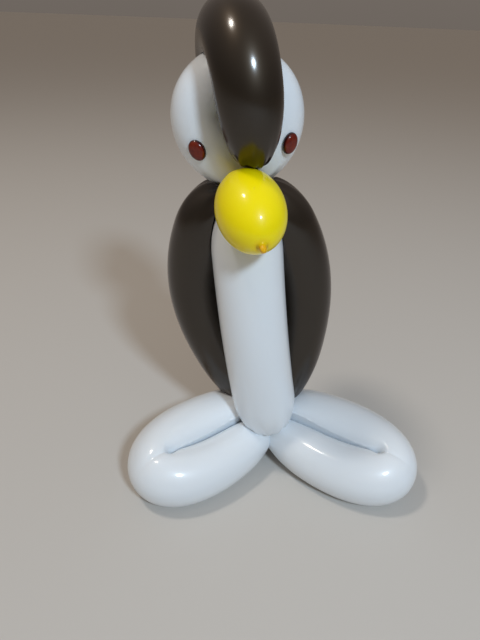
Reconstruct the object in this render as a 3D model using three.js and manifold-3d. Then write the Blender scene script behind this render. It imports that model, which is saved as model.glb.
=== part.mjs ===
// Balloon penguin: three modelling balloons twisted together and two stick-on eye gems.
// Millimetres, +Z up. The penguin faces -Y and stands on its two white foot loops at z = 0.
// A balloon is a row of bubbles. Every bubble is a tube whose centre line lies in one plane,
// whose radius falls to a thin neck at both ends, and whose inner side is squeezed where it bends.
import * as THREE from 'three';
import { mergeVertices } from 'three/addons/utils/BufferGeometryUtils.js';
import Module from 'manifold-3d';

// ---------- driving dimensions ----------
const NECK_R = 3.2;            // radius of the twisted rubber between two bubbles
const GAP = 0.35;              // clearance between two different pieces
const SLIT = 0.4;              // clearance between the two strands of one pinched loop
const FLAT = 1.3;              // how deep the floor flattens the underside of a foot
const FACET = 0.6;             // how far the facets' corners stand outside the round surface

const LEAN_SIDE = 8.3;         // degrees the body leans towards -X
const LEAN_BACK = 4.0;         // degrees the body leans towards +Y
const BODY_LEN = 205;          // lower twist to neck twist
const LOW_TWIST = [1, -1, 24];

const FOOT_LEN = 105;
const FOOT_HALF = 16.6;        // half the distance between the two strands of a foot
const FOOT_R = [20, 28];       // radius of the front strand and of the rear strand
const FOOT_YAW = [54.5, 57.5]; // degrees from straight ahead, left foot and right foot
const FOOT_SETBACK = [19, 17]; // how far each foot starts behind the lower twist

const BELLY_BOW = 7;
const BELLY_R = 24.6;
const BELLY_SIDE = -0.5;

const WING_BOW = [45.5, 37.2];
const WING_R = 22.5;
const WING_REAR = 0.5;         // rearward share of the direction a wing bows in
const WING_SKEW = 1.17;        // above 1 the bow is widest nearer the shoulder
const WING_SHAPE = 0.72;       // below 1 the bow is fuller towards its ends
const WING_DROP = 3.6;         // neck twist down to the top of a wing

const HEAD_LEAN = 9.3;
const HEAD_YAW = 8.3;
const HEAD_LEN = 85.5;
const HEAD_HALF = 30;          // half the distance between front and rear strand
const HEAD_R = [22.4, 18.7];   // radius of the rear strand and of the front strand
const HEAD_SIDE = 5;           // how far the head loop starts towards +X of the neck twist
const HEAD_BARE = 19;          // uninflated rubber at the foot of the front strand
const FACE_LEAN = 11.6;
const FACE_LEN = 57;
const FACE_HALF = 21.9;
const FACE_R = 20.3;
const FACE_SIDE = 3.6;         // how far the face loop starts towards +X of the neck twist
const HEAD_BACK = 9;           // how far the head loops stand behind the neck twist

const BEAK_R = 21.4;
const BEAK_LEN = 60;
const BEAK_AIM = [12.5, 21.8]; // degrees towards +X and degrees downwards
const BEAK_LIFT = [-4, 0, 10]; // the beak rides up against the foot of the head loop
const BEAK_START = 8.6;        // neck twist to the back of the beak
const NIPPLE_LEN = 5;

const EYE_HALF = [5.2, 6.5];   // half widths of the oval gem across and along the face loop
const EYE_RIM = 0.8;           // height of the gem's straight edge above the balloon
const EYE_DOME = 2.0;          // height of the dome above that edge
const EYE_ALONG = [0.216, 0.81]; // where each eye sits along the face loop, 0 to 1
const EYE_ROUND = [66, 54];    // degrees from the outer side of the loop towards the front

const RINGS = 26;
const SIDES = 16;

// ---------- small helpers ----------
const wasm = await Module();
wasm.setup();
const deg = Math.PI / 180;
const V = (x, y, z) => new THREE.Vector3(x, y, z);
const clamp = THREE.MathUtils.clamp;
const leaning = (side, back) => V(-Math.tan(side * deg), Math.tan(back * deg), 1).normalize();

// The centre line of a loop: out and back, pointed at the twist and round at the far end.
class LoopCurve extends THREE.Curve {
  constructor(length, half, spread = 0) {
    super();
    Object.assign(this, { length, half, spread });
    this.arcLengthDivisions = 600;
  }
  getPoint(t, out = new THREE.Vector3()) {
    const a = 2 * Math.PI * t;
    const swell = 1.236 * Math.sin(a) * Math.sin(a / 2) ** 0.8;
    const y = -this.half * swell - this.spread * Math.cos(a / 2);
    return out.set(this.length * (1 - Math.cos(a)) / 2, y, 0);
  }
}

// The centre line of a single bubble between two twists: a one-sided bow.
class BowCurve extends THREE.Curve {
  constructor(length, height, skew = 1, shape = 0.92) {
    super();
    Object.assign(this, { length, height, skew, shape });
    this.arcLengthDivisions = 600;
  }
  getPoint(t, out = new THREE.Vector3()) {
    return out.set(this.length * t, this.height * Math.sin(Math.PI * t ** this.skew) ** this.shape, 0);
  }
}

// A closed mesh as a manifold solid, turned so that its faces point outwards.
function solid(geometry) {
  geometry.deleteAttribute('normal');
  geometry.deleteAttribute('uv');
  const merged = mergeVertices(geometry, 1e-5);
  const vertProperties = new Float32Array(merged.attributes.position.array);
  const triVerts = new Uint32Array(merged.index.array);
  let made = new wasm.Manifold(new wasm.Mesh({ numProp: 3, vertProperties, triVerts }));
  if (made.volume() < 0) {
    for (let i = 0; i < triVerts.length; i += 3) {
      [triVerts[i], triVerts[i + 1]] = [triVerts[i + 1], triVerts[i]];
    }
    made = new wasm.Manifold(new wasm.Mesh({ numProp: 3, vertProperties, triVerts }));
  }
  return made;
}

// Moves every vertex of a closed unit cylinder: along becomes 0..1, across 0..1, round an angle.
function bend(rings, sides, place) {
  const geometry = mergeVertices(bare(new THREE.CylinderGeometry(1, 1, 1, sides, rings)), 1e-5);
  const position = geometry.attributes.position;
  for (let i = 0; i < position.count; i++) {
    const across = Math.hypot(position.getX(i), position.getZ(i));
    const round = Math.atan2(position.getZ(i), position.getX(i));
    const p = place(position.getY(i) + 0.5, across, round);
    position.setXYZ(i, p.x, p.y, p.z);
  }
  return geometry;
}

function bare(geometry) {
  geometry.deleteAttribute('normal');
  geometry.deleteAttribute('uv');
  return geometry;
}

// The frame a bubble is built in: x along `ahead`, y towards `out`, z square to both.
function frame(origin, ahead, out) {
  const x = ahead.clone().normalize();
  const y = out.clone().addScaledVector(x, -out.dot(x)).normalize();
  const z = x.clone().cross(y);
  return new THREE.Matrix4().makeBasis(x, y, z).setPosition(origin);
}

// One bubble. `bare` is the length of uninflated rubber at each end, `taper` the length of the
// narrowing after it in radii, `pinched` presses the two strands of a loop flat against the plane
// y = 0, and `grow` swells the whole surface evenly.
function bubble(matrix, curve, { radius, taper, bare = [0, 0], pinched = false, grow = 0 }) {
  const radii = Array.isArray(radius) ? radius : [radius, radius];
  const length = curve.getLength();
  const round = (x) => Math.sqrt(1 - (1 - clamp(x, 0, 1)) ** 2);
  const place = (along, across, angle) => {
    const waves = pinched ? 4 * Math.PI : 2 * Math.PI;
    const u = along - 0.55 * Math.sin(waves * along) / waves;
    const p = curve.getPointAt(u);
    const tangent = curve.getTangentAt(u);
    const before = curve.getTangentAt(clamp(u - 0.02, 0, 1));
    const after = curve.getTangentAt(clamp(u + 0.02, 0, 1));
    const turn = before.clone().cross(after).z;
    const bendRadius = 0.04 * length / Math.max(Math.abs(turn), 1e-6);
    const full = THREE.MathUtils.lerp(radii[1], radii[0], (1 + Math.cos(Math.PI * u)) / 2);
    const filling = (distance, end) => round((distance - bare[end]) / (taper[end] * full));
    const ends = filling(u * length, 0) * filling((1 - u) * length, 1);
    const r = NECK_R + FACET + (full - NECK_R) * ends;
    const inside = Math.cos(angle) * turn > 0;
    const sideways = (inside ? Math.min(r, 0.94 * bendRadius) : r) + grow;
    const normal = V(-tangent.y, tangent.x, 0);
    p.addScaledVector(normal, Math.cos(angle) * sideways * across);
    p.z += Math.sin(angle) * (r + grow) * across;
    if (pinched) {
      const side = along < 0.5 ? -1 : 1;
      p.y = side * Math.max(side * p.y, (SLIT - grow) / 2);
    }
    return p.applyMatrix4(matrix);
  };
  return solid(bend(RINGS, SIDES, place));
}

function ball(centre, radius, stretch = V(1, 1, 1)) {
  const geometry = new THREE.SphereGeometry(radius, 14, 9);
  return solid(geometry.scale(stretch.x, stretch.y, stretch.z).translate(centre.x, centre.y, centre.z));
}

function rod(from, to, radius) {
  const along = to.clone().sub(from);
  const geometry = new THREE.CylinderGeometry(radius, radius, along.length(), 12);
  const turn = new THREE.Quaternion().setFromUnitVectors(V(0, 1, 0), along.clone().normalize());
  const centre = from.clone().addScaledVector(along, 0.5);
  return solid(geometry.applyQuaternion(turn).translate(centre.x, centre.y, centre.z));
}

function ringAround(centre, axis, major, minor) {
  const geometry = new THREE.TorusGeometry(major, minor, 8, 20);
  const turn = new THREE.Quaternion().setFromUnitVectors(V(0, 0, 1), axis);
  return solid(geometry.applyQuaternion(turn).translate(centre.x, centre.y, centre.z));
}

function boxBelow(z) {
  const geometry = new THREE.BoxGeometry(600, 600, 100).translate(0, 0, z - 50);
  return solid(geometry);
}

const joined = (parts) => parts.reduce((sum, part) => sum.add(part));

function mesh(name, made, colour, roughness, metalness) {
  const { vertProperties, triVerts } = made.getMesh();
  const geometry = new THREE.BufferGeometry();
  geometry.setAttribute('position', new THREE.BufferAttribute(new Float32Array(vertProperties), 3));
  geometry.setIndex(new THREE.BufferAttribute(new Uint32Array(triVerts), 1));
  geometry.computeVertexNormals();
  const material = new THREE.MeshStandardMaterial({ color: colour, roughness, metalness });
  const out = new THREE.Mesh(geometry, material);
  out.name = name;
  return out;
}

// ---------- the skeleton of twists ----------
const low = V(...LOW_TWIST);
const bodyAxis = leaning(LEAN_SIDE, LEAN_BACK);
const neck = low.clone().addScaledVector(bodyAxis, BODY_LEN);
const headAxis = leaning(HEAD_LEAN, LEAN_BACK);
const faceAxis = leaning(FACE_LEAN, LEAN_BACK);
const CORE = 5;                // half the height of the bare twist between belly and face

const faceStart = neck.clone().addScaledVector(faceAxis, CORE).add(V(FACE_SIDE, HEAD_BACK, 0));
const faceLoop = {
  matrix: frame(faceStart, faceAxis, V(1, 0, 0)),
  curve: new LoopCurve(FACE_LEN, FACE_HALF),
};
const FACE_FRONT = -1;         // the face loop's own z points towards +Y, so its front is -z

// ---------- white balloon: two feet, belly and face ----------
function whiteBalloon(grow) {
  const parts = [];
  [-1, 1].forEach((side, i) => {
    const yaw = FOOT_YAW[i] * deg;
    const ahead = V(side * Math.sin(yaw), -Math.cos(yaw), 0);
    const rise = (FOOT_R[1] - FOOT_R[0]) / (2 * FOOT_HALF);
    const rear = V(side * Math.cos(yaw), Math.sin(yaw), rise);
    const start = V(0, FOOT_SETBACK[i], (FOOT_R[0] + FOOT_R[1]) / 2 - FLAT);
    const curve = new LoopCurve(FOOT_LEN, FOOT_HALF);
    const shape = { radius: FOOT_R, taper: [2.5, 1.4], pinched: true, grow };
    parts.push(bubble(frame(start, ahead, rear), curve, shape));
  });
  const bellyStart = low.clone().addScaledVector(bodyAxis, 4);
  const bellyCurve = new BowCurve(BODY_LEN - 4 - CORE, BELLY_BOW);
  parts.push(bubble(frame(bellyStart, bodyAxis, V(BELLY_SIDE, -1, 0)), bellyCurve,
    { radius: BELLY_R, taper: [1.5, 1.6], grow }));
  parts.push(bubble(faceLoop.matrix, faceLoop.curve,
    { radius: FACE_R, taper: [2, 2], pinched: true, grow }));
  parts.push(rod(V(0, FOOT_SETBACK[0], 12), low.clone().addScaledVector(bodyAxis, 9), 5 + grow));
  parts.push(rod(neck.clone().addScaledVector(bodyAxis, -CORE - 4),
    faceStart.clone().addScaledVector(faceAxis, 5), NECK_R + 0.6 + grow));
  return joined(parts);
}

// ---------- black balloon: two wings and the head loop ----------
function blackBalloon() {
  const parts = [];
  const ringMajor = NECK_R + 0.6 + GAP + NECK_R;
  const knot = low.clone().add(V(0, 17, 10));
  [-1, 1].forEach((side, i) => {
    const top = neck.clone().add(V(side * ringMajor * 0.8, 3, -WING_DROP));
    const ahead = top.clone().sub(knot);
    const curve = new BowCurve(ahead.length(), WING_BOW[i], WING_SKEW, WING_SHAPE);
    parts.push(bubble(frame(knot, ahead, V(side, WING_REAR, 0)), curve,
      { radius: WING_R, taper: [2.9, 1.8] }));
  });
  const headStart = neck.clone().addScaledVector(headAxis, 3).add(V(HEAD_SIDE, HEAD_BACK * 0.6, 0));
  const yaw = HEAD_YAW * deg;
  parts.push(bubble(frame(headStart, headAxis, V(Math.sin(yaw), -Math.cos(yaw), 0)),
    new LoopCurve(HEAD_LEN, HEAD_HALF, ringMajor),
    { radius: HEAD_R, taper: [2.2, 2.3], bare: [0, HEAD_BARE] }));
  parts.push(ringAround(neck, bodyAxis, ringMajor, NECK_R));
  parts.push(ball(knot, 6));
  return joined(parts);
}

// ---------- yellow balloon: the beak, an egg with a small nipple at its tip ----------
function yellowBalloon(grow) {
  const [side, down] = BEAK_AIM.map((angle) => angle * deg);
  const aim = V(Math.sin(side) * Math.cos(down), -Math.cos(side) * Math.cos(down), -Math.sin(down));
  const outline = [new THREE.Vector2(0, -grow)];
  const steps = 20;
  for (let i = 1; i < steps; i++) {
    const x = BEAK_LEN * (1 - Math.cos(Math.PI * i / steps)) / 2;
    const egg = BEAK_R * Math.sin(Math.PI * i / steps);
    outline.push(new THREE.Vector2(egg + grow, x));
  }
  outline.push(new THREE.Vector2(2.1 + grow, BEAK_LEN + 0.6));
  outline.push(new THREE.Vector2(1.7 + grow, BEAK_LEN + NIPPLE_LEN - 1));
  outline.push(new THREE.Vector2(0, BEAK_LEN + NIPPLE_LEN + grow));
  const turn = new THREE.Quaternion().setFromUnitVectors(V(0, 1, 0), aim);
  const start = neck.clone().add(V(...BEAK_LIFT)).addScaledVector(aim, BEAK_START);
  const geometry = new THREE.LatheGeometry(outline, 20).applyQuaternion(turn);
  return solid(geometry.translate(start.x, start.y, start.z));
}

// ---------- eye gem: a low oval drum with a domed top, its back shaped to the face ----------
function eyeGem(i) {
  const { curve, matrix } = faceLoop;
  const p = curve.getPointAt(EYE_ALONG[i]);
  const tangent = curve.getTangentAt(EYE_ALONG[i]);
  const outward = V(tangent.y, -tangent.x, 0);
  if (outward.y * p.y < 0) outward.negate();
  const round = EYE_ROUND[i] * deg;
  const normal = outward.multiplyScalar(Math.cos(round)).add(V(0, 0, Math.sin(round) * FACE_FRONT));
  const centre = p.clone().addScaledVector(normal, FACE_R).applyMatrix4(matrix);
  const axis = normal.transformDirection(matrix);
  const along = tangent.transformDirection(matrix);
  const outline = [new THREE.Vector2(0, -3), new THREE.Vector2(1, -3)];
  for (let k = 0; k <= 5; k++) {
    const a = k / 5 * Math.PI / 2;
    outline.push(new THREE.Vector2(Math.cos(a) * 0.999, EYE_RIM + EYE_DOME * Math.sin(a)));
  }
  outline[outline.length - 1].x = 0;
  const [across, length] = EYE_HALF;
  const turn = new THREE.Matrix4().makeBasis(axis.clone().cross(along), axis, along).setPosition(centre);
  return solid(new THREE.LatheGeometry(outline, 20).scale(across, 1, length).applyMatrix4(turn));
}

const yellowClear = yellowBalloon(GAP);
const whiteWhole = whiteBalloon(0);
const whiteClear = whiteBalloon(GAP);
const white = whiteWhole.subtract(boxBelow(0)).subtract(yellowClear);
const black = blackBalloon().subtract(whiteClear).subtract(yellowClear);

const group = new THREE.Group();
group.add(mesh('white_balloon', white, 0xe6ebf0, 0.3, 0));
group.add(mesh('black_balloon', black, 0x2b2723, 0.28, 0.35));
group.add(mesh('yellow_balloon', yellowBalloon(0), 0xe8d40a, 0.3, 0));
group.add(mesh('left_eye_gem', eyeGem(0).subtract(whiteClear), 0x7a1b12, 0.12, 0));
group.add(mesh('right_eye_gem', eyeGem(1).subtract(whiteClear), 0x7a1b12, 0.12, 0));
const bounds = new THREE.Box3().setFromObject(group);
const middle = bounds.getCenter(V(0, 0, 0));
group.position.set(-middle.x, -middle.y, -bounds.min.z); // origin under the middle of the whole figure
group.updateMatrixWorld(true);
export default group;
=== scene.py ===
"""Balloon penguin: the fine surfaces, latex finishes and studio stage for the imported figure.

Three modelling balloons (white, pearl black, yellow) and two oval resin gems. Every bubble is a tube
whose centre line lies in one plane and whose radius falls to a thin twisted neck at both ends. The
geometry functions work in millimetres in the figure's own frame: +Z up, the penguin faces -Y.
"""
import math

import bpy
import numpy as np
from bpy.props import FloatProperty, FloatVectorProperty, IntProperty, PointerProperty
from mathutils import Matrix, Vector


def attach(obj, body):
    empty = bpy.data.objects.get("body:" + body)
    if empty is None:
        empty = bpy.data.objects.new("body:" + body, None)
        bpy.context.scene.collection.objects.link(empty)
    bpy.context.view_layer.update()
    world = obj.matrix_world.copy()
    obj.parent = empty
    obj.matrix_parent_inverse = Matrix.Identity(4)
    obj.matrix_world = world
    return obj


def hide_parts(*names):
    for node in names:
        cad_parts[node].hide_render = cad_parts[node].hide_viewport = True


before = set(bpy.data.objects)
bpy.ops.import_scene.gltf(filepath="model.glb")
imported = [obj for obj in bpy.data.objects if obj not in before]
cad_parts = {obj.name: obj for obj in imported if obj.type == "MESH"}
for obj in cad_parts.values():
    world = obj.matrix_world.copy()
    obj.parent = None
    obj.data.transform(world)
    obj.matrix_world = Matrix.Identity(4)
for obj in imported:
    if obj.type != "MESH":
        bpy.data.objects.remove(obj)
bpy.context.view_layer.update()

bl_info = {
    "name": "Balloon Penguin",
    "version": (1, 0, 0),
    "blender": (4, 5, 0),
    "location": "View3D > Sidebar > Balloon Penguin",
    "description": "Builds a penguin twisted from modelling balloons around its packed frame",
    "category": "Object",
}

# ---------------------------------------------------------------- measures, in millimetres and degrees

MM = 0.001
ORIGIN_SHIFT = (-1.522, -4.51, 0.0)  # from the lower twist's axis to the middle of the whole figure
NECK_R = 3.2  # twisted rubber between two bubbles
ROD_R = NECK_R + 0.6  # the wound rubber inside a twist
LOW_ROD_R = 5.0  # the thicker wound rubber between the feet and the belly
KNOT_R = 6.0  # the black balloon's lower knot
GAP = 0.35  # clearance to which bubbles are pushed from the tubes of other balloons
SLIT = 0.4  # clearance between the strands of one pinched loop
FLAT = 1.3  # depth of the strip the floor presses into a foot
CORE = 5.0  # half the height of the bare twist at the neck
SQUEEZE = 0.94  # share of a bend's radius that the inside of a bubble may fill
CROWDING = 0.62  # how far a bubble's rings crowd towards its ends and its bend
PLEAT_FADE = 8.0  # length over which the pleats die away from a twist
BEND_POWER = 5.0  # sharpness of the change from the round girth to the squeezed one
SEAM_ROUND = 0.3  # rounding where two strands meet
FLOOR_ROUND = 0.12  # rounding where a foot meets the floor
CREASE = 3.0  # depth of the fold over the toes
CREASE_FADE = 3.2  # width over which that fold dies away
CREASE_RUN = 1.6  # length over which it deepens behind the toes, in strand radii

LEAN_SIDE = 8.3
LEAN_BACK = 4.0
BODY_LEN = 205.0
LOW_TWIST = (1.0, -1.0, 24.0)

FOOT_YAW = (54.5, 57.5)
FOOT_SETBACK = (19.0, 17.0)
BELLY_START = 4.0
BELLY_BOW = 7.0
BELLY_SIDE = -0.5
WING_BOW = (45.5, 37.2)
WING_REAR = 0.5
WING_SKEW = 1.17
WING_SHAPE = 0.72
WING_TOP = (0.8, 3.0, -3.6)  # sideways in ring radii, back and up in mm, from the neck
HEAD_LEAN = 9.3
HEAD_YAW = 8.3
HEAD_SIDE = 5.0
HEAD_START = 3.0
HEAD_SETBACK = 5.4
HEAD_BARE = 19.0  # bare rubber at the end of the strand over the brow
FACE_LEAN = 11.6
FACE_SIDE = 3.6
FACE_SETBACK = 9.0
BEAK_AIM = (12.5, 21.8)
BEAK_LIFT = (-4.0, 0.0, 10.0)
BEAK_START = 8.6
EYE_ALONG = (0.216, 0.81)
EYE_ROUND = (66.0, 54.0)
CHEEK_BEND = 2.2  # radius of the cheek along its loop, in strand radii

EGG_RINGS = 0.8  # share of the beak's rings that lie on its egg
NIPPLE_R = 2.2
NIPPLE_ROOT = 1.2  # how far the nipple starts inside the egg
FLARE = 1.4  # height of the flared root
FLARE_FADE = 1.6
TIP_TONE = (1.5, 3.5)  # where the nipple's colour starts before the egg's end, and its run
NECK_ROD = (4.0, 5.0)  # how far the neck's rod runs into the belly and the face
LOW_ROD = (12.0, 9.0)  # height of the low rod's foot, and its reach above the low twist


def vec(*xyz):
    return np.array(xyz, float)


def unit(v):
    return v / np.linalg.norm(v)


def leaning(side, back):
    """The direction that leans `side` degrees towards -X and `back` degrees towards +Y."""
    return unit(vec(-math.tan(math.radians(side)), math.tan(math.radians(back)), 1.0))


LOW = vec(*LOW_TWIST)
BODY_AXIS = leaning(LEAN_SIDE, LEAN_BACK)
NECK = LOW + BODY_AXIS * BODY_LEN
HEAD_AXIS = leaning(HEAD_LEAN, LEAN_BACK)
FACE_AXIS = leaning(FACE_LEAN, LEAN_BACK)
RING_R = ROD_R + GAP + NECK_R
KNOT = LOW + vec(0, 17, 10)


# ---------------------------------------------------------------- settings


def linear(hex_colour):
    """An sRGB hex colour as linear RGBA."""
    srgb = np.array([int(hex_colour[k : k + 2], 16) for k in (1, 3, 5)]) / 255
    rgb = np.where(srgb <= 0.04045, srgb / 12.92, ((srgb + 0.055) / 1.055) ** 2.4)
    return (*[float(c) for c in rgb], 1.0)


def distance(name, description, millimetres):
    return FloatProperty(name=name, description=description, default=millimetres * MM, min=MM / 10,
                         precision=4, subtype="DISTANCE", unit="LENGTH")


def tint(name, description, hex_colour):
    return FloatVectorProperty(name=name, description=description, default=linear(hex_colour)[:3],
                               size=3, min=0.0, max=1.0, subtype="COLOR")


def watts(name, description, power):
    return FloatProperty(name=name, description=description, default=power, min=0.0, unit="POWER")


class PENGUIN_PG_mesh(bpy.types.PropertyGroup):
    rings: IntProperty(name="Rings", description="Rings along each bubble", default=240, min=24, max=400)
    sides: IntProperty(name="Sides", description="Sides round each bubble", default=96, min=16, max=256)


class PENGUIN_PG_white(bpy.types.PropertyGroup):
    foot_length: distance("Foot length", "Twist to toe along one foot loop", 104.9)
    foot_half: distance("Foot half width", "Half the distance between a foot's two strands", 16.6)
    foot_front: distance("Front strand", "Radius of a foot's front strand", 20)
    foot_rear: distance("Rear strand", "Radius of a foot's rear strand", 28)
    belly_radius: distance("Belly radius", "Radius of the belly bubble", 24.6)
    face_length: distance("Face length", "Neck twist to the top of the face loop", 57)
    face_half: distance("Face half width", "Half the distance between the face's two strands", 21.9)
    face_radius: distance("Face radius", "Radius of the face loop's strands", 20.3)
    skin: tint("Skin", "Colour of the stretched white latex", "#e9eff4")
    bunched: tint("Bunched", "Colour where the white latex is bunched at a twist", "#e6dfcc")


class PENGUIN_PG_black(bpy.types.PropertyGroup):
    wing_radius: distance("Wing radius", "Radius of each wing bubble", 22.5)
    head_length: distance("Head length", "Neck twist to the crown of the head loop", 85.5)
    head_half: distance("Head half depth", "Half the distance between front and rear strand", 30)
    head_front: distance("Front strand", "Radius of the strand over the brow", 18.7)
    head_rear: distance("Rear strand", "Radius of the strand down the nape", 22.4)
    skin: tint("Skin", "Colour of the stretched pearl black latex", "#332b22")
    bunched: tint("Bunched", "Colour where the black latex is bunched at a twist", "#14110f")


class PENGUIN_PG_yellow(bpy.types.PropertyGroup):
    radius: distance("Radius", "Largest radius of the beak", 21.4)
    length: distance("Length", "Length of the beak without its nipple", 60)
    nipple: distance("Nipple", "Length of the nipple at the tip", 5)
    skin: tint("Skin", "Colour of the stretched yellow latex", "#ffe800")
    tip: tint("Tip", "Colour of the unstretched nipple", "#e8b008")


class PENGUIN_PG_eyes(bpy.types.PropertyGroup):
    across: distance("Half width", "Half width of one oval gem", 5.2)
    along: distance("Half height", "Half height of one oval gem", 6.5)
    rim: distance("Rim", "Height of the straight edge", 0.8)
    dome: distance("Dome", "Height of the dome above the edge", 2.0)
    middle: tint("Middle", "Colour inside the gem", "#5a0f08")
    fleck: tint("Fleck", "Browner cloud inside the gem", "#74220d")
    # painted shade: this dark colour is painted on the gem's outer ring and back, standing in for the shade
    # at a domed gem's rim
    edge: tint("Edge", "Colour of the gem's deep edge", "#2a0504")


class PENGUIN_PG_stage(bpy.types.PropertyGroup):
    paper: tint("Paper", "Colour of the matt paper on the floor", "#c8c4be")
    key: watts("Key lamp", "Lamp in front, to the figure's left", 15.0)
    side: watts("Side lamp", "Lamp high on the figure's right", 8.0)


# ---------------------------------------------------------------- centre lines


def loop_line(length_mm, half, spread=0.0):
    """Out and back, for a = 2 pi t: x is length (1 - cos a) / 2, and y is
    -half * 1.236 sin a sin(a / 2)^0.8 - spread cos(a / 2)."""

    def line(t):
        a = 2 * np.pi * t
        swell = 1.236 * np.sin(a) * np.sin(a / 2) ** 0.8
        return np.stack([length_mm * (1 - np.cos(a)) / 2, -half * swell - spread * np.cos(a / 2)], -1)

    return line


def bow_line(length_mm, height, skew=1.0, shape=0.92):
    """One-sided bow: x is length t, and y is height sin(pi t^skew)^shape."""

    def line(t):
        return np.stack([length_mm * t, height * np.abs(np.sin(np.pi * t**skew)) ** shape], -1)

    return line


class Path:
    """A planar centre line measured by arc length, with u from 0 to 1 along it."""

    def __init__(self, line, steps=6000):
        p = line(np.linspace(0, 1, steps))
        run = np.r_[0, np.cumsum(np.linalg.norm(np.diff(p, axis=0), axis=1))]
        self.length = run[-1]
        self.u = run / run[-1]
        self.p = p
        self.grid = np.linspace(0, 1, 2001)
        tangent = np.gradient(self.at(self.grid), self.grid, axis=0)
        self.angle = np.unwrap(np.arctan2(tangent[:, 1], tangent[:, 0]))

    def at(self, u):
        return np.stack([np.interp(u, self.u, self.p[:, k]) for k in (0, 1)], -1)

    def heading(self, u):
        return np.interp(np.clip(u, 0, 1), self.grid, self.angle)

    def bend_radius(self, u):
        """Radius of curvature averaged over 4% of the length, positive where the line turns left."""
        turn = self.heading(u + 0.02) - self.heading(u - 0.02)
        return 0.04 * self.length / np.where(np.abs(turn) < 1e-6, 1e-6, turn)


# ---------------------------------------------------------------- bubbles


def soft_max(a, b, width):
    """The larger of a and b, with a rounded corner `width` wide."""
    return b + width * np.logaddexp(0, (a - b) / width)


class Bubble:
    """One inflated bubble between two twists, as a grid of rings (axis 0) and sides (axis 1).

    `bare` is the uninflated length at each end, `taper` the narrowing after it in radii, and `pleats`
    the number and depth of the little folds that gather the rubber into a twist."""

    def __init__(self, origin, ahead, out, line, radius, taper, bare=(0, 0), pinched=False, pleats=(11, 0.1),
                 crease=0.0):
        self.path = Path(line)
        self.origin = origin
        self.ahead = unit(ahead)
        self.out = unit(out - self.ahead * (out @ self.ahead))
        self.across = np.cross(self.ahead, self.out)
        self.radius = radius if isinstance(radius, tuple) else (radius, radius)
        self.taper, self.bare, self.pinched, self.pleats, self.crease = taper, bare, pinched, pleats, crease

    def place(self, flat):
        """From the bubble's own frame (along, out, across) to the figure's frame."""
        along, out, across = flat[..., :1], flat[..., 1:2], flat[..., 2:]
        return self.origin + along * self.ahead + out * self.out + across * self.across

    def girth(self, u):
        """Radius and fullness: the fullness is sqrt(1 - (1 - x)^2) of each end's share x of its taper,
        and the radius grows with it from the neck's to the full one."""
        start, end = self.radius
        full = end + (start - end) * (1 + np.cos(np.pi * u)) / 2
        fullness = 1.0
        for k, distance in enumerate((u * self.path.length, (1 - u) * self.path.length)):
            x = np.clip((distance - self.bare[k]) / (self.taper[k] * full), 0, 1)
            fullness = fullness * np.sqrt(1 - (1 - x) ** 2)
        return NECK_R + (full - NECK_R) * fullness, fullness

    def core(self, count=240):
        """Centre points and radii, for neighbours that press against this bubble."""
        u = np.linspace(0, 1, count)
        return self.place(np.c_[self.path.at(u), np.zeros(count)]), self.girth(u)[0]

    def surface(self, rings, sides):
        """Centre + cos(f) w normal + sin(f) r across, with w cut to the bend's radius inside a bend.
        Rings crowd where the radius or the bend changes fast. A pinched loop's strands stop at the
        plane between them, and `crease` is the depth of the fold that runs on over its far end."""
        k = np.linspace(0, 1, rings)
        waves = 4 * np.pi if self.pinched else 2 * np.pi
        u = k - CROWDING * np.sin(waves * k) / waves
        f = np.linspace(0, 2 * np.pi, sides, endpoint=False)
        p, angle = self.path.at(u), self.path.heading(u)
        normal = np.stack([-np.sin(angle), np.cos(angle)], -1)
        bend = self.path.bend_radius(u)
        r, fullness = self.girth(u)
        count, depth = self.pleats
        from_start = u * self.path.length - self.bare[0]
        from_end = (1 - u) * self.path.length - self.bare[1]
        near = np.exp(-np.maximum(np.minimum(from_start, from_end), 0) / PLEAT_FADE)
        folds = 1 + depth * near[:, None] * np.cos(count * f[None] + 1.3 * np.sin(2 * f[None] + 1.0))
        limit = SQUEEZE * np.abs(bend)
        squeezed = (r**-BEND_POWER + limit**-BEND_POWER) ** (-1 / BEND_POWER)
        inside = np.cos(f)[None] * np.sign(bend)[:, None] > 0
        wide = np.where(inside, squeezed[:, None], r[:, None]) * folds
        flat = np.empty((rings, sides, 3))
        flat[..., :2] = p[:, None] + (np.cos(f)[None] * wide)[..., None] * normal[:, None]
        flat[..., 2] = np.sin(f)[None] * r[:, None] * folds
        tip = self.path.at(np.array([0.5]))[0, 0]
        beyond = np.clip((tip + self.radius[1] - flat[..., 0]) / (CREASE_RUN * self.radius[1]), 0, 1)
        fold = self.crease * beyond * np.exp(-(np.abs(flat[..., 1]) / CREASE_FADE))
        flat[..., 2] -= np.sign(flat[..., 2]) * np.minimum(fold, np.abs(flat[..., 2]))
        if self.pinched:
            hand = np.where(k < 0.5, -1.0, 1.0)[:, None]
            flat[..., 1] = hand * soft_max(hand * flat[..., 1], SLIT / 2, SEAM_ROUND)
        return self.place(flat), np.repeat(fullness[:, None], sides, 1)


def press_out(points, cores, width=0.6):
    """Moves points out of neighbouring tubes, straight away from the deepest centre point, softly. A
    point between two strands can still end up inside the second one."""
    p = points.reshape(-1, 3).copy()
    for centres, radii in cores:
        low = (centres - radii[:, None]).min(0) - 5 * width
        high = (centres + radii[:, None]).max(0) + 5 * width
        near = np.nonzero(((p > low) & (p < high)).all(1))[0]
        if not len(near):
            continue
        q = p[near]
        distance = np.linalg.norm(q[:, None] - centres[None], axis=2)
        depth = radii[None] + GAP - distance
        best = depth.argmax(1)
        rows = np.arange(len(q))
        deepest, far = depth[rows, best], distance[rows, best]
        push = np.where(deepest > -4 * width, width * np.logaddexp(0, deepest / width), 0.0)
        p[near] = q + (q - centres[best]) / np.maximum(far, 1e-3)[:, None] * push[:, None]
    return p.reshape(points.shape)


# ---------------------------------------------------------------- meshes


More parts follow.
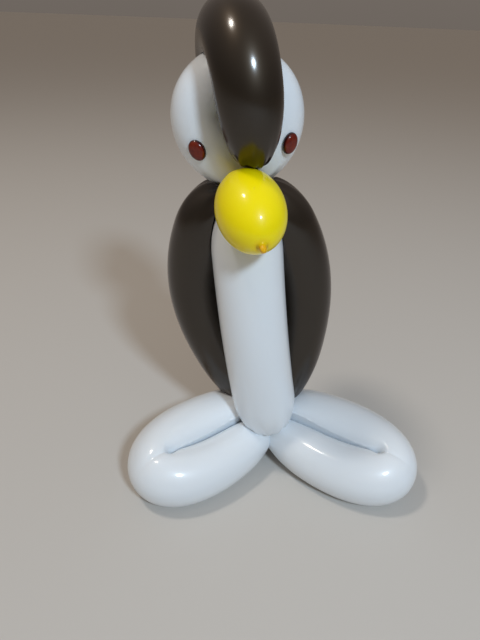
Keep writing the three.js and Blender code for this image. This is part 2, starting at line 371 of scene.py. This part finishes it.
def closed_faces(rings, sides, ringed):
    """Quads of a tube grid. A ringed grid also joins its last ring to its first, and any other gets a
    fan of triangles at each end round an added pole vertex."""
    i = np.arange(rings if ringed else rings - 1)[:, None]
    j = np.arange(sides)[None]
    beside, after = (j + 1) % sides, (i + 1) % rings
    quads = np.stack([i * sides + j, i * sides + beside, after * sides + beside, after * sides + j], -1)
    if ringed:
        return quads.reshape(-1, 4), np.empty((0, 3), int)
    first = rings * sides
    base = (rings - 1) * sides
    j, beside = j[0], beside[0]
    caps = [np.stack([np.full(sides, first), beside, j], -1),
            np.stack([np.full(sides, first + 1), base + j, base + beside], -1)]
    return quads.reshape(-1, 4), np.concatenate(caps)


def volume(points, triangles):
    a, b, c = (points[triangles[:, k]] for k in range(3))
    return np.einsum("ij,ij->i", a, np.cross(b, c)).sum() / 6


class Shell:
    """Collects closed tube grids into one mesh, each turned so that its faces point outwards."""

    def __init__(self):
        self.points, self.quads, self.triangles, self.fields = [], [], [], []
        self.count = 0

    def add(self, grid, field, ringed=False):
        rings, sides = grid.shape[:2]
        points, values = grid.reshape(-1, 3), field.ravel()
        if not ringed:
            points = np.concatenate([points, grid[:1].mean(1), grid[-1:].mean(1)])
            values = np.r_[values, field[0].mean(), field[-1].mean()]
        quads, triangles = closed_faces(rings, sides, ringed)
        split = np.concatenate([quads[:, [0, 1, 2]], quads[:, [0, 2, 3]], triangles])
        if volume(points, split) < 0:
            quads, triangles = quads[:, ::-1], triangles[:, ::-1]
        self.quads.append(quads + self.count)
        self.triangles.append(triangles + self.count)
        self.points.append(points)
        self.fields.append(values)
        self.count += len(points)

    def build(self, name, field_name):
        points = (np.concatenate(self.points) + np.array(ORIGIN_SHIFT)) * MM
        quads, triangles = np.concatenate(self.quads), np.concatenate(self.triangles)
        obj = new_object(name, points, quads, triangles)
        layer = obj.data.attributes.new(field_name, "FLOAT", "POINT")
        layer.data.foreach_set("value", np.concatenate(self.fields).astype(np.float32))
        return obj


def new_object(name, points, quads, triangles):
    corners = np.r_[quads.ravel(), triangles.ravel()].astype(np.int32)
    sizes = np.r_[np.full(len(quads), 4), np.full(len(triangles), 3)].astype(np.int32)
    mesh = bpy.data.meshes.new(name)
    mesh.vertices.add(len(points))
    mesh.vertices.foreach_set("co", points.astype(np.float32).ravel())
    mesh.loops.add(len(corners))
    mesh.loops.foreach_set("vertex_index", corners)
    mesh.polygons.add(len(sizes))
    mesh.polygons.foreach_set("loop_start", np.r_[0, np.cumsum(sizes)[:-1]].astype(np.int32))
    mesh.polygons.foreach_set("loop_total", sizes)
    mesh.update(calc_edges=True)
    mesh.validate()
    mesh.polygons.foreach_set("use_smooth", np.ones(len(sizes), bool))
    obj = bpy.data.objects.new(name, mesh)
    bpy.context.scene.collection.objects.link(obj)
    return obj


# ---------------------------------------------------------------- the bubbles of each balloon


def foot(i, size):
    side = (-1, 1)[i]
    yaw = math.radians(FOOT_YAW[i])
    half, front, rear = size.foot_half / MM, size.foot_front / MM, size.foot_rear / MM
    start = vec(0, FOOT_SETBACK[i], (front + rear) / 2 - FLAT)
    ahead = vec(side * math.sin(yaw), -math.cos(yaw), 0)
    back = vec(side * math.cos(yaw), math.sin(yaw), (rear - front) / (2 * half))
    line = loop_line(size.foot_length / MM, half)
    return Bubble(start, ahead, back, line, (front, rear), taper=(2.5, 1.4), pinched=True, crease=CREASE)


def belly(size):
    line = bow_line(BODY_LEN - BELLY_START - CORE, BELLY_BOW)
    return Bubble(LOW + BODY_AXIS * BELLY_START, BODY_AXIS, vec(BELLY_SIDE, -1, 0), line,
                  size.belly_radius / MM, taper=(1.5, 1.6), pleats=(13, 0.1))


def face(size):
    start = NECK + FACE_AXIS * CORE + vec(FACE_SIDE, FACE_SETBACK, 0)
    line = loop_line(size.face_length / MM, size.face_half / MM)
    return Bubble(start, FACE_AXIS, vec(1, 0, 0), line, size.face_radius / MM, taper=(2, 2), pinched=True)


def wing(i, size):
    side = (-1, 1)[i]
    aside, back, up = WING_TOP
    ahead = NECK + vec(side * RING_R * aside, back, up) - KNOT
    line = bow_line(float(np.linalg.norm(ahead)), WING_BOW[i], WING_SKEW, WING_SHAPE)
    return Bubble(KNOT, ahead, vec(side, WING_REAR, 0), line, size.wing_radius / MM, taper=(2.9, 1.8))


def head(size):
    yaw = math.radians(HEAD_YAW)
    start = NECK + HEAD_AXIS * HEAD_START + vec(HEAD_SIDE, HEAD_SETBACK, 0)
    line = loop_line(size.head_length / MM, size.head_half / MM, RING_R)
    radii = (size.head_rear / MM, size.head_front / MM)
    return Bubble(start, HEAD_AXIS, vec(math.sin(yaw), -math.cos(yaw), 0), line, radii, taper=(2.2, 2.3),
                  bare=(0, HEAD_BARE))


def beak_frame():
    side, down = (math.radians(a) for a in BEAK_AIM)
    aim = vec(math.sin(side) * math.cos(down), -math.cos(side) * math.cos(down), -math.sin(down))
    up = unit(vec(0, 0, 1) - aim * aim[2])
    return NECK + vec(*BEAK_LIFT) + aim * BEAK_START, aim, up, np.cross(aim, up)


def egg(x, size):
    """Radius of the beak at distance x along it: half of an ellipse's height."""
    span = size.length / MM
    return size.radius / MM * np.sqrt(np.clip(1 - (2 * x / span - 1) ** 2, 0, 1))


def beak_core(size):
    """Spheres on the beak's axis that touch the egg from inside: the one that touches it at x has its
    centre at x + slope r and the radius r sqrt(1 + slope^2)."""
    start, aim, _, _ = beak_frame()
    span = size.length / MM
    x = np.linspace(0.06, 0.94, 80) * span
    r = egg(x, size)
    slope = np.gradient(r, x)
    centres = x + r * slope
    return start + centres[:, None] * aim, r * np.sqrt(1 + slope**2)


def beak_surface(size, rings=220, sides=112):
    """A half ellipse turned round the beak's axis, blended by a fourth-power sum into a blunt nipple
    with a small flared root, and gathered by shallow pleats at its back."""
    start, aim, up, right = beak_frame()
    span, nipple = size.length / MM, size.nipple / MM
    k = np.linspace(0, 1, rings)
    on_egg = span * (1 - np.cos(np.pi * np.clip(k / EGG_RINGS, 0, 1))) / 2
    x = np.where(k < EGG_RINGS, on_egg, span + nipple * (k - EGG_RINGS) / (1 - EGG_RINGS))
    front = x > span * 0.6
    past = np.clip((x - span + NIPPLE_ROOT) / (nipple + NIPPLE_ROOT), 0, 1)
    stub = NIPPLE_R * np.sqrt(np.clip(1 - past**4, 0, 1)) * front
    flare = FLARE * np.exp(-np.clip(span - x, 0, None) / FLARE_FADE) * front * (x < span)
    r = (egg(x, size) ** 4 + stub**4) ** 0.25 + flare
    r[-1] = 0.02
    f = np.linspace(0, 2 * np.pi, sides, endpoint=False)
    ring = np.cos(f)[:, None] * up + np.sin(f)[:, None] * right
    folds = 1 + 0.1 * np.exp(-x / 4.0)[:, None] * np.cos(9 * f)[None]
    crimps = 1 + 0.05 * (past * front)[:, None] * np.cos(6 * f)[None]
    grid = start + x[:, None, None] * aim + (r[:, None] * folds * crimps)[..., None] * ring[None]
    tip = np.clip((x - span + TIP_TONE[0]) / TIP_TONE[1], 0, 1)
    return grid, np.repeat(tip[:, None], sides, 1)


def rod_surface(a, b, r, sides=48, rings=12):
    """A straight rod of wound rubber from a to b: a circle with five shallow twisted lobes."""
    axis = unit(b - a)
    u = unit(np.cross(axis, vec(0, 1, 0.3)))
    v = np.cross(axis, u)
    f = np.linspace(0, 2 * np.pi, sides, endpoint=False)
    t = np.linspace(0, 1, rings)
    ring = np.cos(f)[:, None] * u + np.sin(f)[:, None] * v
    lobes = 1 + 0.06 * np.cos(5 * f[None] + 6 * t[:, None])
    grid = a + t[:, None, None] * (b - a) + r * lobes[..., None] * ring[None]
    return grid, np.zeros((rings, sides))


def ring_surface(centre, axis, major, minor, turns=96, sides=32):
    """A torus round the neck twist: radius major to the tube's middle, the tube minor thick with
    seven shallow lobes along it."""
    u = unit(np.cross(axis, vec(1, 0, 0)))
    v = np.cross(axis, u)
    t = np.linspace(0, 2 * np.pi, turns, endpoint=False)
    f = np.linspace(0, 2 * np.pi, sides, endpoint=False)
    radial = np.cos(t)[:, None] * u + np.sin(t)[:, None] * v
    r = minor * (1 + 0.07 * np.cos(7 * t))[:, None]
    grid = (centre + major * radial[:, None] + (r * np.cos(f))[..., None] * radial[:, None]
            + (r * np.sin(f))[..., None] * axis)
    return grid, np.zeros((turns, sides))


def ball_surface(centre, radius, rings=24, sides=32):
    """A sphere by latitude and longitude."""
    t = np.linspace(0.02, np.pi - 0.02, rings)
    f = np.linspace(0, 2 * np.pi, sides, endpoint=False)
    ring = np.stack([np.cos(f), np.sin(f)], -1)
    sphere = np.empty((rings, sides, 3))
    sphere[..., :2] = np.sin(t)[:, None, None] * ring[None]
    sphere[..., 2] = np.cos(t)[:, None]
    return centre + radius * sphere, np.zeros((rings, sides))


def gem_surface(i, cheek, size, sides=96):
    """An oval drum seated on the cheek: its back falls away with the cheek's two curvatures, its top
    is half of a shallow ellipsoid."""
    u = np.array([EYE_ALONG[i]])
    p, angle = cheek.path.at(u)[0], float(cheek.path.heading(u)[0])
    outward = vec(math.sin(angle), -math.cos(angle), 0)
    if outward[1] * p[1] < 0:
        outward = -outward
    lift = math.radians(EYE_ROUND[i])
    turn = np.stack([cheek.ahead, cheek.out, cheek.across])
    axis = (outward * math.cos(lift) + vec(0, 0, -math.sin(lift))) @ turn
    along = vec(math.cos(angle), math.sin(angle), 0) @ turn
    over = np.cross(axis, along)
    tube_r = cheek.radius[0]
    loop_r = tube_r * CHEEK_BEND
    seat = cheek.place(vec(*p, 0)) + axis * tube_r

    f = np.linspace(0, 2 * np.pi, sides, endpoint=False)
    back = np.linspace(0.02, 1.0, 14)
    a = np.linspace(0, np.pi / 2 - 0.02, 40)
    share = np.r_[back, 1.0, np.cos(a) ** 0.6]
    tall, wide = size.along / MM * share[:, None] * np.cos(f), size.across / MM * share[:, None] * np.sin(f)
    n = len(back)
    height = np.empty((len(share), sides))
    height[:n] = -(tall[:n] ** 2 / (2 * loop_r) + wide[:n] ** 2 / (2 * tube_r)) - 0.1
    height[n] = 0.0
    height[n + 1 :] = ((size.rim + size.dome) / MM * (0.1 + 0.9 * np.sin(a)))[:, None]
    grid = seat + tall[..., None] * along + wide[..., None] * over + height[..., None] * axis
    # edge field: the share out towards the rim on the top, and 1 on the back and edge; the resin paints
    # shade with it on the rim
    edge = np.repeat(share[:, None], sides, 1)
    edge[:n] = 1.0
    return grid, edge


# ---------------------------------------------------------------- nodes and finishes


def add_node(tree, kind, settings=None, inputs=None, links=None):
    """Adds a node, sets its properties and sockets, and links named sockets from other nodes' outputs."""
    node = tree.nodes.new(kind)
    for key, value in (settings or {}).items():
        setattr(node, key, value)
    for key, value in (inputs or {}).items():
        node.inputs[key].default_value = value
    for key, source in (links or {}).items():
        tree.links.new(source, node.inputs[key])
    return node


def new_material(name):
    material = bpy.data.materials.new(name)
    material.use_nodes = True
    tree = material.node_tree
    tree.nodes.clear()
    return material, tree


def field_tone(tree, name, at_zero, at_one, low=0.0, high=1.0):
    """One colour turning into another as the named attribute goes from low to high."""
    field = add_node(tree, "ShaderNodeAttribute", {"attribute_name": name}).outputs["Fac"]
    ramp = add_node(tree, "ShaderNodeMapRange", {"interpolation_type": "SMOOTHSTEP"},
                    {"From Min": low, "From Max": high}, {"Value": field})
    mix = add_node(tree, "ShaderNodeMix", {"data_type": "RGBA"},
                   {"A": (*at_zero, 1.0), "B": (*at_one, 1.0)}, {"Factor": ramp.outputs[0]})
    return mix.outputs["Result"]


def uneven(tree, place, spacing_mm, low, high):
    """A value that wanders between low and high in clouds about spacing_mm across."""
    noise = add_node(tree, "ShaderNodeTexNoise", inputs={"Scale": 1 / (spacing_mm * MM), "Detail": 2.0},
                     links={"Vector": place})
    return add_node(tree, "ShaderNodeMapRange",
                    inputs={"From Min": 0.3, "From Max": 0.7, "To Min": low, "To Max": high},
                    links={"Value": noise.outputs[0]}).outputs[0]


def latex_bump(tree, place):
    """Faint orange peel of stretched rubber, in cells about 2.5 mm across and a few microns high."""
    peel = add_node(tree, "ShaderNodeTexNoise", inputs={"Scale": 1 / (2.5 * MM), "Detail": 2.0},
                    links={"Vector": place})
    return add_node(tree, "ShaderNodeBump", inputs={"Strength": 0.05, "Distance": 0.0002},
                    links={"Height": peel.outputs[0]}).outputs[0]


def white_latex(size):
    """White natural latex, dip moulded and blown up: a milky skin that lets a little light through, cream
    where it is bunched and thick at the twists, under a thin wet-looking gloss with crisp highlights."""
    material, tree = new_material("white inflated latex")
    place = add_node(tree, "ShaderNodeTexCoord").outputs["Object"]
    tone = field_tone(tree, "fullness", size.bunched, size.skin, 0.1, 0.8)
    shader = add_node(tree, "ShaderNodeBsdfPrincipled",
                      inputs={"IOR": 1.52, "Subsurface Weight": 0.2, "Subsurface Scale": 0.005,
                              "Subsurface Radius": (1.0, 0.95, 0.9), "Specular IOR Level": 0.35,
                              "Coat Weight": 0.7, "Coat Roughness": 0.1},
                      links={"Base Color": tone, "Roughness": uneven(tree, place, 30, 0.3, 0.38),
                             "Normal": latex_bump(tree, place)})
    add_node(tree, "ShaderNodeOutputMaterial", links={"Surface": shader.outputs[0]})
    return material


def pearl_black_latex(size):
    """Pearl black latex, dip moulded with mica in the skin: the mica gives a broad metallic glow, and the
    smooth stretched surface over it gives crisp mirror highlights. Nearly black where it is bunched."""
    material, tree = new_material("pearl black inflated latex")
    place = add_node(tree, "ShaderNodeTexCoord").outputs["Object"]
    tone = field_tone(tree, "fullness", size.bunched, size.skin, 0.0, 0.9)
    shader = add_node(tree, "ShaderNodeBsdfPrincipled",
                      inputs={"Metallic": 0.9, "Specular Tint": (0.4, 0.33, 0.27, 1.0), "Coat Weight": 1.0,
                              "Coat Roughness": 0.18, "Coat IOR": 1.5},
                      links={"Base Color": tone, "Roughness": uneven(tree, place, 16, 0.4, 0.46),
                             "Normal": latex_bump(tree, place)})
    add_node(tree, "ShaderNodeOutputMaterial", links={"Surface": shader.outputs[0]})
    return material


def yellow_latex(size):
    """Opaque lemon yellow latex, dip moulded and blown up: saturated and glossy, golden brown at the
    nipple where the rubber is not stretched."""
    material, tree = new_material("yellow inflated latex")
    place = add_node(tree, "ShaderNodeTexCoord").outputs["Object"]
    tone = field_tone(tree, "tip", size.skin, size.tip, 0.1, 0.9)
    shader = add_node(tree, "ShaderNodeBsdfPrincipled",
                      inputs={"IOR": 1.52, "Subsurface Weight": 0.15, "Subsurface Scale": 0.005,
                              "Subsurface Radius": (1.0, 0.8, 0.1), "Specular IOR Level": 0.2,
                              "Coat Weight": 0.4, "Coat Roughness": 0.06},
                      links={"Base Color": tone, "Roughness": uneven(tree, place, 25, 0.3, 0.38),
                             "Normal": latex_bump(tree, place)})
    add_node(tree, "ShaderNodeOutputMaterial", links={"Surface": shader.outputs[0]})
    return material


def red_resin(size):
    """Cast polyester resin: dark red with browner clouds stirred in before it set, a dark ring of painted
    shade at the edge, and a polished top."""
    material, tree = new_material("dark red cast resin")
    place = add_node(tree, "ShaderNodeTexCoord").outputs["Object"]
    clouds = add_node(tree, "ShaderNodeMix", {"data_type": "RGBA"},
                      {"A": (*size.middle, 1.0), "B": (*size.fleck, 1.0)},
                      {"Factor": uneven(tree, place, 3, 0.0, 1.0)})
    # painted shade: where the edge field nears 1, the dark edge colour replaces the red, as the shade a
    # domed gem shows at its rim
    field = add_node(tree, "ShaderNodeAttribute", {"attribute_name": "edge"}).outputs["Fac"]
    ring = add_node(tree, "ShaderNodeMapRange", inputs={"From Min": 0.88, "From Max": 0.99},
                    links={"Value": field})
    tone = add_node(tree, "ShaderNodeMix", {"data_type": "RGBA"}, {"B": (*size.edge, 1.0)},
                    {"Factor": ring.outputs[0], "A": clouds.outputs["Result"]})
    shader = add_node(tree, "ShaderNodeBsdfPrincipled",
                      inputs={"Roughness": 0.3, "Specular IOR Level": 0.2, "Coat Weight": 0.5,
                              "Coat Roughness": 0.04},
                      links={"Base Color": tone.outputs["Result"]})
    add_node(tree, "ShaderNodeOutputMaterial", links={"Surface": shader.outputs[0]})
    return material


def matt_paper(tint_rgb):
    """Matt uncoated paper laid over the floor: one even pale tone without a highlight."""
    material, tree = new_material("pale matt paper")
    shader = add_node(tree, "ShaderNodeBsdfPrincipled",
                      inputs={"Base Color": (*tint_rgb, 1.0), "Roughness": 0.9, "Specular IOR Level": 0.1})
    add_node(tree, "ShaderNodeOutputMaterial", links={"Surface": shader.outputs[0]})
    return material


def settle(obj, node_name, material):
    obj.data.materials.append(material)
    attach(obj, "root")
    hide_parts(node_name)


# ---------------------------------------------------------------- pieces


class PENGUIN_OT_white_balloon(bpy.types.Operator):
    """Blow up and twist the white balloon: both feet, the belly and the face"""

    bl_idname = "penguin.white_balloon"
    bl_label = "White Balloon"

    def execute(self, context):
        size, mesh = context.scene.penguin_white, context.scene.penguin_mesh
        beak = [beak_core(context.scene.penguin_yellow)]
        shell = Shell()
        for i in (0, 1):
            grid, fullness = foot(i, size).surface(mesh.rings, mesh.sides)
            grid[..., 2] = soft_max(grid[..., 2], 0.0, FLOOR_ROUND)
            shell.add(grid, fullness)
        for bubble in (belly(size), face(size)):
            grid, fullness = bubble.surface(mesh.rings, mesh.sides)
            shell.add(press_out(grid, beak), fullness)
        below, above = NECK - BODY_AXIS * (CORE + NECK_ROD[0]), face(size).origin + FACE_AXIS * NECK_ROD[1]
        shell.add(*rod_surface(below, above, ROD_R))
        below, above = vec(0, FOOT_SETBACK[0], LOW_ROD[0]), LOW + BODY_AXIS * LOW_ROD[1]
        shell.add(*rod_surface(below, above, LOW_ROD_R))
        obj = shell.build("white_balloon_skin", "fullness")
        settle(obj, "white_balloon", white_latex(size))
        return {"FINISHED"}


class PENGUIN_OT_black_balloon(bpy.types.Operator):
    """Blow up and twist the black balloon: both wings and the loop over the head"""

    bl_idname = "penguin.black_balloon"
    bl_label = "Black Balloon"

    def execute(self, context):
        size, mesh = context.scene.penguin_black, context.scene.penguin_mesh
        white = context.scene.penguin_white
        body = [belly(white).core(), face(white).core(), foot(0, white).core(), foot(1, white).core()]
        beak = beak_core(context.scene.penguin_yellow)
        shell = Shell()
        for bubble in (wing(0, size), wing(1, size), head(size)):
            grid, fullness = bubble.surface(mesh.rings, mesh.sides)
            shell.add(press_out(grid, [*body, beak]), fullness)
        grid, fullness = ring_surface(NECK, BODY_AXIS, RING_R, NECK_R)
        shell.add(press_out(grid, [beak]), fullness, ringed=True)
        grid, fullness = ball_surface(KNOT, KNOT_R)
        shell.add(press_out(grid, body), fullness)
        obj = shell.build("black_balloon_skin", "fullness")
        settle(obj, "black_balloon", pearl_black_latex(size))
        return {"FINISHED"}


class PENGUIN_OT_yellow_balloon(bpy.types.Operator):
    """Blow up the yellow balloon for the beak, leaving its small nipple"""

    bl_idname = "penguin.yellow_balloon"
    bl_label = "Yellow Balloon"

    def execute(self, context):
        size = context.scene.penguin_yellow
        shell = Shell()
        shell.add(*beak_surface(size))
        obj = shell.build("yellow_balloon_skin", "tip")
        settle(obj, "yellow_balloon", yellow_latex(size))
        return {"FINISHED"}


class PENGUIN_OT_eye_gems(bpy.types.Operator):
    """Stick the two oval resin gems on the cheeks"""

    bl_idname = "penguin.eye_gems"
    bl_label = "Eye Gems"

    def execute(self, context):
        size = context.scene.penguin_eyes
        cheek = face(context.scene.penguin_white)
        resin = red_resin(size)
        for i, name in enumerate(("left_eye_gem", "right_eye_gem")):
            shell = Shell()
            shell.add(*gem_surface(i, cheek, size))
            settle(shell.build(name + "_dome", "edge"), name, resin)
        return {"FINISHED"}


# ---------------------------------------------------------------- stage

CAMERA_AT = (-0.04195, -0.31423, 0.32147)
CAMERA_AIM = (2.38, -31.42, 2.29)  # heading from +Y towards +X, pitch and roll, degrees
LENS = 28.04  # focal length, mm
SENSOR = 36.0  # height of the sensor, mm
KEY_LAMP = ((24, 40), 1.6, 0.22, (0.68, 0.84, 1.0))  # heading and elevation, distance, size, colour
SIDE_LAMP = ((-88, 66), 1.7, 0.24, (1.0, 0.93, 0.85))
BREAST = (-0.03, -0.01, 0.2)  # the point that the lamps aim at
ROOM = (1.0, 0.86, 0.75, 1.0)  # the room's warm tint
ROOM_LOW, ROOM_HIGH = 0.15, 0.33  # strength of the room's light at the horizon and overhead


def floor_surface(reach=40.0, sides=96):
    """A flat round floor: one fan of triangles from the origin to a circle of radius `reach`, in metres."""
    f = np.linspace(0, 2 * np.pi, sides, endpoint=False)
    rim = np.stack([reach * np.cos(f), reach * np.sin(f), np.zeros(sides)], -1)
    j = np.arange(sides)
    return np.concatenate([rim, np.zeros((1, 3))]), np.stack([np.full(sides, sides), j, (j + 1) % sides], -1)


def aim_matrix(place, target):
    back = (Vector(place) - Vector(target)).normalized()
    right = Vector((0, 0, 1)).cross(back).normalized()
    up = back.cross(right)
    return Matrix.Translation(place) @ Matrix((right, up, back)).transposed().to_4x4()


def soft_box(name, lamp_setup, power):
    """A round soft box in a (heading, elevation) direction as seen from the figure's breast."""
    (heading, lift), distance, size, colour = lamp_setup
    heading, lift = math.radians(heading), math.radians(lift)
    target = Vector(BREAST)
    level = math.cos(lift)
    way = Vector((math.sin(heading) * level, -math.cos(heading) * level, math.sin(lift)))
    lamp = bpy.data.lights.new(name, "AREA")
    lamp.shape = "DISK"
    lamp.size = size
    lamp.energy = power
    lamp.color = colour
    obj = bpy.data.objects.new(name, lamp)
    obj.matrix_world = aim_matrix(target + way * distance, target)
    bpy.context.scene.collection.objects.link(obj)


def set_camera(scene):
    heading, pitch, roll = (math.radians(a) for a in CAMERA_AIM)
    ahead = math.cos(pitch)
    forward = Vector((math.sin(heading) * ahead, math.cos(heading) * ahead, math.sin(pitch)))
    level = Vector((math.cos(heading), -math.sin(heading), 0))
    right = level * math.cos(roll) + level.cross(forward) * math.sin(roll)
    up = right.cross(forward)
    lens = bpy.data.cameras.new("view")
    lens.sensor_fit = "VERTICAL"
    lens.sensor_height = SENSOR
    lens.lens = LENS
    lens.clip_start = 0.01
    camera = bpy.data.objects.new("view", lens)
    turn = Matrix((right, up, -forward)).transposed().to_4x4()
    camera.matrix_world = Matrix.Translation(CAMERA_AT) @ turn
    scene.collection.objects.link(camera)
    scene.camera = camera


def soft_room():
    """A warm dim room: dark walls under a pale ceiling that gives the fill light."""
    world = bpy.data.worlds.new("soft room")
    world.use_nodes = True
    tree = world.node_tree
    way = add_node(tree, "ShaderNodeTexCoord").outputs["Generated"]
    rise = add_node(tree, "ShaderNodeSeparateXYZ", links={"Vector": way}).outputs["Z"]
    ramp = add_node(tree, "ShaderNodeMapRange", {"interpolation_type": "SMOOTHSTEP"},
                    {"From Min": -0.1, "From Max": 0.8, "To Min": ROOM_LOW, "To Max": ROOM_HIGH},
                    {"Value": rise})
    background = tree.nodes["Background"]
    background.inputs["Color"].default_value = ROOM
    tree.links.new(ramp.outputs[0], background.inputs["Strength"])
    return world


class PENGUIN_OT_stage(bpy.types.Operator):
    """Set the pale paper floor, the soft lamps and the camera"""

    bl_idname = "penguin.stage"
    bl_label = "Stage"

    def execute(self, context):
        scene = context.scene
        size = scene.penguin_stage
        points, triangles = floor_surface()
        floor = new_object("studio_floor", points, np.empty((0, 4), int), triangles)
        floor.data.materials.append(matt_paper(size.paper))
        scene.world = soft_room()
        scene.view_settings.view_transform = "Standard"
        soft_box("key_lamp", KEY_LAMP, size.key)
        soft_box("side_lamp", SIDE_LAMP, size.side)
        set_camera(scene)
        return {"FINISHED"}


# ---------------------------------------------------------------- add-on

GROUPS = {
    "penguin_mesh": PENGUIN_PG_mesh,
    "penguin_white": PENGUIN_PG_white,
    "penguin_black": PENGUIN_PG_black,
    "penguin_yellow": PENGUIN_PG_yellow,
    "penguin_eyes": PENGUIN_PG_eyes,
    "penguin_stage": PENGUIN_PG_stage,
}
OPERATORS = (
    PENGUIN_OT_stage,
    PENGUIN_OT_white_balloon,
    PENGUIN_OT_black_balloon,
    PENGUIN_OT_yellow_balloon,
    PENGUIN_OT_eye_gems,
)


class PENGUIN_PT_panel(bpy.types.Panel):
    """Sidebar panel with every size and colour, and one button for each piece"""

    bl_idname = "PENGUIN_PT_panel"
    bl_label = "Balloon Penguin"
    bl_space_type = "VIEW_3D"
    bl_region_type = "UI"
    bl_category = "Balloon Penguin"

    def draw(self, context):
        for name, kind in GROUPS.items():
            box = self.layout.box()
            for key in kind.__annotations__:
                box.prop(getattr(context.scene, name), key)
        for kind in OPERATORS:
            self.layout.operator(kind.bl_idname)


def register():
    for kind in (*GROUPS.values(), *OPERATORS, PENGUIN_PT_panel):
        bpy.utils.register_class(kind)
    for name, kind in GROUPS.items():
        setattr(bpy.types.Scene, name, PointerProperty(type=kind))


def unregister():
    for name in GROUPS:
        delattr(bpy.types.Scene, name)
    for kind in reversed((*GROUPS.values(), *OPERATORS, PENGUIN_PT_panel)):
        bpy.utils.unregister_class(kind)


def main():
    register()
    bpy.ops.penguin.stage()
    bpy.ops.penguin.white_balloon()
    bpy.ops.penguin.black_balloon()
    bpy.ops.penguin.yellow_balloon()
    bpy.ops.penguin.eye_gems()


if __name__ == "__main__":
    main()
